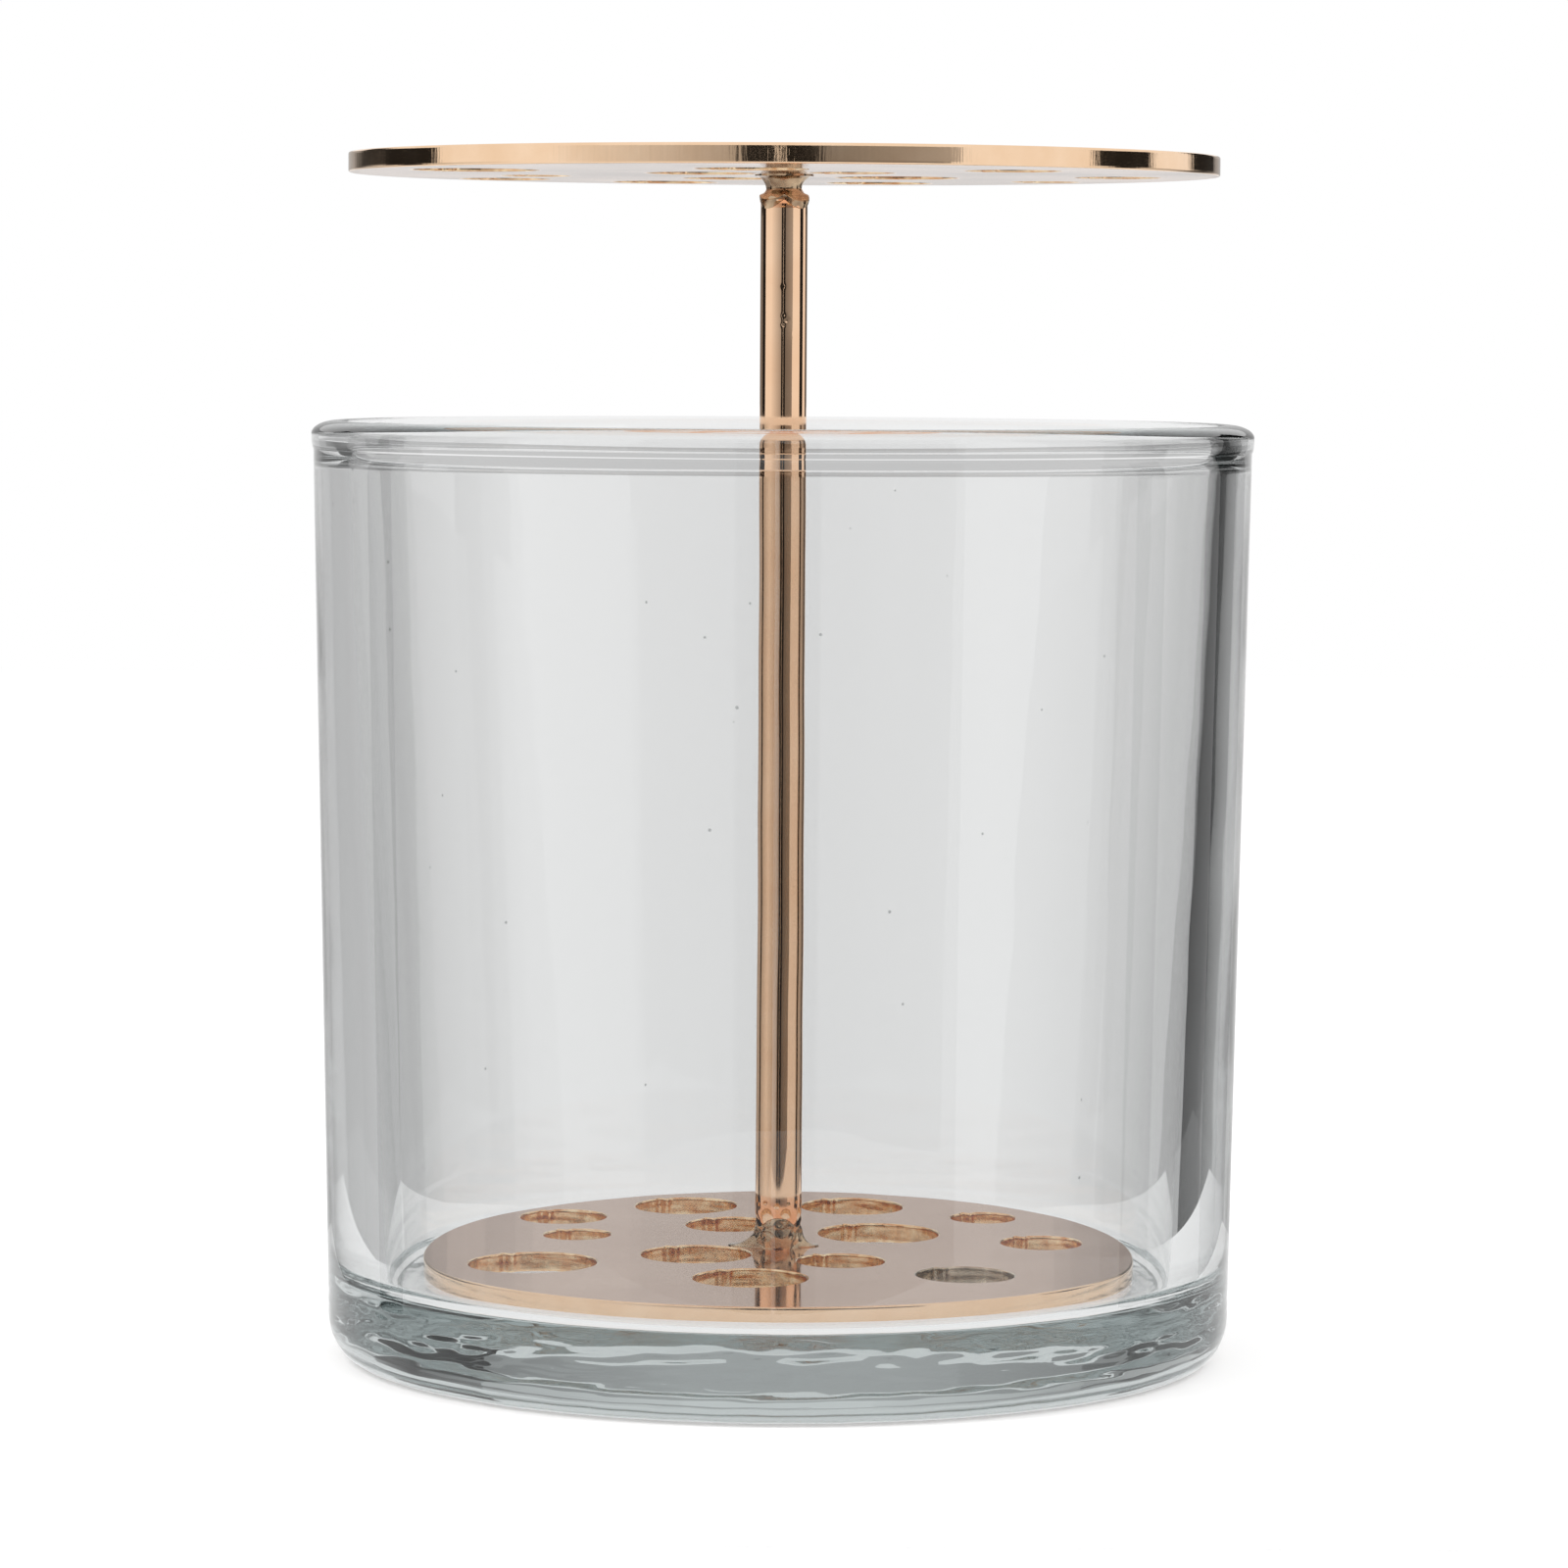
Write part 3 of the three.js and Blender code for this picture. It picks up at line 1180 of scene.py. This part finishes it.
@dataclass
class Studio:
    """Plain product studio: paper floor, white surround with dark panels, two soft boxes and camera."""

    panel_distance: float = 1.0
    panel_step: float = 1.0
    table_left: float = -0.098
    table_right: float = 0.112
    table_front: float = -0.13
    table_back: float = 0.104
    floor_half: float = 1.6
    floor_drop: float = 0.05 * MM
    glass_bounces: int = 24
    diffuse_level: float = 0.75
    soft_box_size: float = 0.5
    soft_box_distance: float = 0.8
    soft_box_height: float = 0.8
    soft_box_aim: float = 0.06
    camera_distance: float = 800.0 * MM
    camera_height: float = 131.5 * MM
    camera_side: float = 0.4 * MM
    camera_pitch: float = 4.14
    camera_roll: float = 0.33
    focal_px: float = 6369.0
    image_px: float = 1600.0
    sensor_mm: float = 36.0
    nearest_seen: float = 0.01

    SOFT_BOXES: ClassVar[tuple[SoftBox, ...]] = (
        SoftBox("left_soft_box", -60.0, 5.0),
        SoftBox("right_soft_box", 60.0, 4.0),
    )
    PANELS: ClassVar[tuple[Panel, ...]] = (
        Panel("front_left_gap", -11.0, -1.7, 0.02, 0.02, mirrored_only=True),
        Panel("front_right_gap", -0.7, 9.0, 0.02, 0.02, mirrored_only=True),
        Panel("front_right_wall", 9.0, 43.0, 0.2, 0.28, top=0.13, mirrored_only=True),
        Panel("front_right_upper_wall", 9.0, 45.0, 0.22, 0.42, bottom=0.13, mirrored_only=True),
        Panel("left_soft_wall", -60.0, -11.0, 0.95, 0.42, mirrored_only=True),
        Panel("right_flag", 86.0, 109.0, 0.02, 0.02, bottom=0.095),
        Panel("right_flag_foot", 93.0, 104.0, 0.02, 0.02, top=0.095, nearer=0.02),
        Panel("right_side_wall", 86.0, 131.0, 0.75, 0.4, bottom=-0.2, fade=0.15, top=0.095),
        Panel("right_back_flag", 131.0, 153.5, 0.02, 0.02, bottom=0.165, top=0.5),
        Panel("right_back_flag_start", 131.0, 141.0, 0.3, 0.02, bottom=0.095, top=0.165),
        Panel("right_back_flag_end", 141.0, 153.5, 0.02, 0.2, bottom=0.095, top=0.165),
        Panel("right_back_flag_foot", 131.0, 143.0, 0.02, 0.05, bottom=-0.2, fade=0.15, top=0.095),
        Panel("right_back_side", 143.0, 153.5, 0.15, 0.4, bottom=-0.2, fade=0.15, top=0.095),
        Panel("right_back_wall", 153.5, 173.0, 0.65, 0.95, bottom=-0.2, fade=0.15, top=0.11),
        Panel("right_back_middle_wall", 153.5, 173.0, 0.3, 0.58, bottom=0.11, top=0.19),
        Panel("back_middle_wall", 173.0, 187.0, 0.6, 0.6, bottom=0.115, top=0.19),
        Panel("left_back_middle_wall", 187.0, 194.0, 0.6, 0.54, bottom=0.11, top=0.19),
        Panel("left_back_middle_side", 194.0, 208.0, 0.5, 0.36, bottom=0.11, top=0.19),
        Panel("left_back_middle_flag", 208.0, 216.0, 0.2, 0.08, bottom=0.1, top=0.19),
        Panel("left_back_middle_end", 216.0, 234.0, 0.08, 0.4, bottom=0.1, top=0.165),
        Panel("right_back_upper_wall", 153.5, 173.0, 0.4, 0.6, bottom=0.19, top=0.28),
        Panel("back_upper_wall", 173.0, 187.0, 0.6, 0.6, bottom=0.19, top=0.28),
        Panel("left_back_upper_wall", 187.0, 194.0, 0.6, 0.55, bottom=0.19, top=0.28),
        Panel("left_back_upper_side", 194.0, 216.0, 0.5, 0.3, bottom=0.19, top=0.28),
        Panel("left_back_flag", 216.0, 234.0, 0.04, 0.04, bottom=0.165, top=0.5),
        Panel("left_back_wall", 187.0, 208.0, 0.97, 0.57, bottom=-0.2, fade=0.15, top=0.11),
        Panel("left_back_side", 208.0, 234.0, 0.47, 0.62, bottom=-0.2, fade=0.15, top=0.085),
        Panel("left_side_wall", 234.0, 258.0, 0.58, 0.62, bottom=-0.2, fade=0.15, top=0.095),
        Panel("left_side_wall_end", 258.0, 290.0, 0.62, 1.0, bottom=-0.2, fade=0.15, top=0.095),
        Panel("left_flag", -127.0, -100.0, 0.02, 0.02, bottom=0.095),
        Panel("left_flag_foot", -118.0, -107.0, 0.02, 0.02, top=0.095, nearer=0.02),
    )

    def build_world(self) -> None:
        """Makes the white surround, which metal and glass see as the camera does."""
        world = bpy.data.worlds.new("white_surround")
        bpy.context.scene.world = world
        world.use_nodes = True
        tree = world.node_tree
        tree.nodes.clear()
        path = add_node(tree, "ShaderNodeLightPath")
        shown = path.outputs["Is Camera Ray"]
        for ray in ("Is Glossy Ray", "Is Transmission Ray"):
            shown = add_node(
                tree, "ShaderNodeMath", {0: shown, 1: path.outputs[ray]}, operation="MAXIMUM"
            ).outputs[0]
        level = add_node(tree, "ShaderNodeMapRange", {0: shown, 3: self.diffuse_level, 4: WHITE})
        light = add_node(
            tree, "ShaderNodeBackground", {"Color": linear("ffffff"), "Strength": level.outputs[0]}
        )
        output = add_node(tree, "ShaderNodeOutputWorld")
        tree.links.new(light.outputs[0], output.inputs["Surface"])

    def build_panels(self) -> None:
        """Stands the panels round the object, where only metal and glass see them."""
        for panel in self.PANELS:
            count = max(1, math.ceil((panel.end - panel.start) / self.panel_step))
            distance = self.panel_distance - panel.nearer
            verts, levels = [], []
            for step in range(count + 1):
                share = step / count
                bearing = math.radians(panel.start + (panel.end - panel.start) * share)
                level = panel.start_level + (panel.end_level - panel.start_level) * share
                rows = [(panel.bottom, level), (panel.top, level)]
                if panel.fade:
                    rows.insert(0, (panel.bottom - panel.fade, WHITE))
                for height, shown in rows:
                    verts.append((distance * math.sin(bearing), -distance * math.cos(bearing), height))
                    levels.append(shown)
            faces = [
                (low, low + 1, low + len(rows) + 1, low + len(rows))
                for step in range(count)
                for low in range(step * len(rows), (step + 1) * len(rows) - 1)
            ]
            made = new_object(panel.name, verts, faces)
            name = "studio_panel_mirrored" if panel.mirrored_only else "studio_panel"
            finish = StudioPanel(name, mirrored_only=panel.mirrored_only)
            layer = made.data.attributes.new(finish.attribute, "FLOAT", "POINT")
            layer.data.foreach_set("value", levels)
            made.data.materials.append(finish.material())
            made.visible_camera = False
            made.visible_diffuse = False
            made.visible_shadow = False

    def build_floor(self) -> None:
        """Lays the paper on a small table under the glass, and on the floor that only the camera sees."""
        table = (self.table_left, self.table_right, self.table_front, self.table_back)
        half = self.floor_half
        for name, layer, (left, right, front, back) in (
            ("table_paper", 1, table),
            ("floor_paper", 2, (-half, half, -half, half)),
        ):
            z = -layer * self.floor_drop
            corners = [(left, front, z), (right, front, z), (right, back, z), (left, back, z)]
            paper = new_object(name, corners, [(0, 1, 2, 3)])
            paper.data.materials.append(SeamlessPaper("seamless_paper_white").material())
            paper.visible_glossy = layer == 1
            paper.visible_transmission = layer == 1

    def build_lamps(self) -> None:
        """Hangs two soft boxes that shape the shadow on the floor."""
        away = self.soft_box_distance
        for box in self.SOFT_BOXES:
            light = bpy.data.lights.new(box.name, "AREA")
            light.energy = box.power
            light.size = self.soft_box_size
            lamp = bpy.data.objects.new(box.name, light)
            turn = math.radians(box.bearing)
            lamp.location = (away * math.sin(turn), -away * math.cos(turn), self.soft_box_height)
            aim = Vector((0.0, 0.0, self.soft_box_aim)) - lamp.location
            lamp.rotation_euler = aim.to_track_quat("-Z", "Y").to_euler()
            lamp.visible_camera = False
            lamp.visible_glossy = False
            lamp.visible_transmission = False
            bpy.context.scene.collection.objects.link(lamp)

    def build_camera(self) -> None:
        """Sets the camera at the photograph's viewing angle."""
        data = bpy.data.cameras.new("product_camera")
        data.sensor_width = self.sensor_mm
        data.lens = self.focal_px * self.sensor_mm / self.image_px
        data.clip_start = self.nearest_seen
        camera = bpy.data.objects.new("product_camera", data)
        place = Matrix.Translation((self.camera_side, -self.camera_distance, self.camera_height))
        tilt = Matrix.Rotation(math.radians(90.0 - self.camera_pitch), 4, "X")
        roll = Matrix.Rotation(math.radians(self.camera_roll), 4, "Z")
        camera.matrix_world = place @ tilt @ roll
        bpy.context.scene.collection.objects.link(camera)
        bpy.context.scene.camera = camera

    def build(self) -> None:
        """Builds the studio round the object."""
        scene = bpy.context.scene
        scene.view_settings.view_transform = "Standard"
        # Light is led many times to and fro inside the heavy base before it comes out.
        scene.cycles.max_bounces = self.glass_bounces
        scene.cycles.glossy_bounces = self.glass_bounces
        scene.cycles.transmission_bounces = self.glass_bounces
        self.build_world()
        self.build_panels()
        self.build_floor()
        self.build_lamps()
        self.build_camera()


def main() -> None:
    """Builds the studio, the tumbler and the flower frog in order."""
    logging.basicConfig(level=logging.INFO, format="%(message)s")
    Studio().build()
    GlassTumbler().build()
    stem = StemBar()
    stem.build()
    DrilledDisc(Node.LOWER_DISC, "lower_drilled_disc", bare_hole=8).build()
    DrilledDisc(Node.UPPER_DISC, "upper_drilled_disc").build()
    WeldBead(
        Node.LOWER_WELD,
        "lower_weld",
        stem,
        stem.lower_taper,
        foot_radius=2.5 * MM,
        neck_height=2.5 * MM,
        toe_height=4.0 * MM,
        lobes=3,
        first_cusp=90.0,
        cusp_depth=1.5 * MM,
        lobe_swell=0.7 * MM,
        fins=(WeldFin(172.0, 4.0 * MM, 22.0), WeldFin(8.0, 2.8 * MM, 22.0)),
        lump_size_mm=0.9,
    ).build()
    WeldBead(
        Node.UPPER_WELD,
        "upper_weld",
        stem,
        stem.upper_taper,
        foot_radius=3.8 * MM,
        neck_height=1.8 * MM,
        toe_height=4.3 * MM,
        lobes=4,
        first_cusp=0.0,
        cusp_depth=1.2 * MM,
        lobe_swell=0.05 * MM,
        points_down=True,
    ).build()


if __name__ == "__main__":
    main()
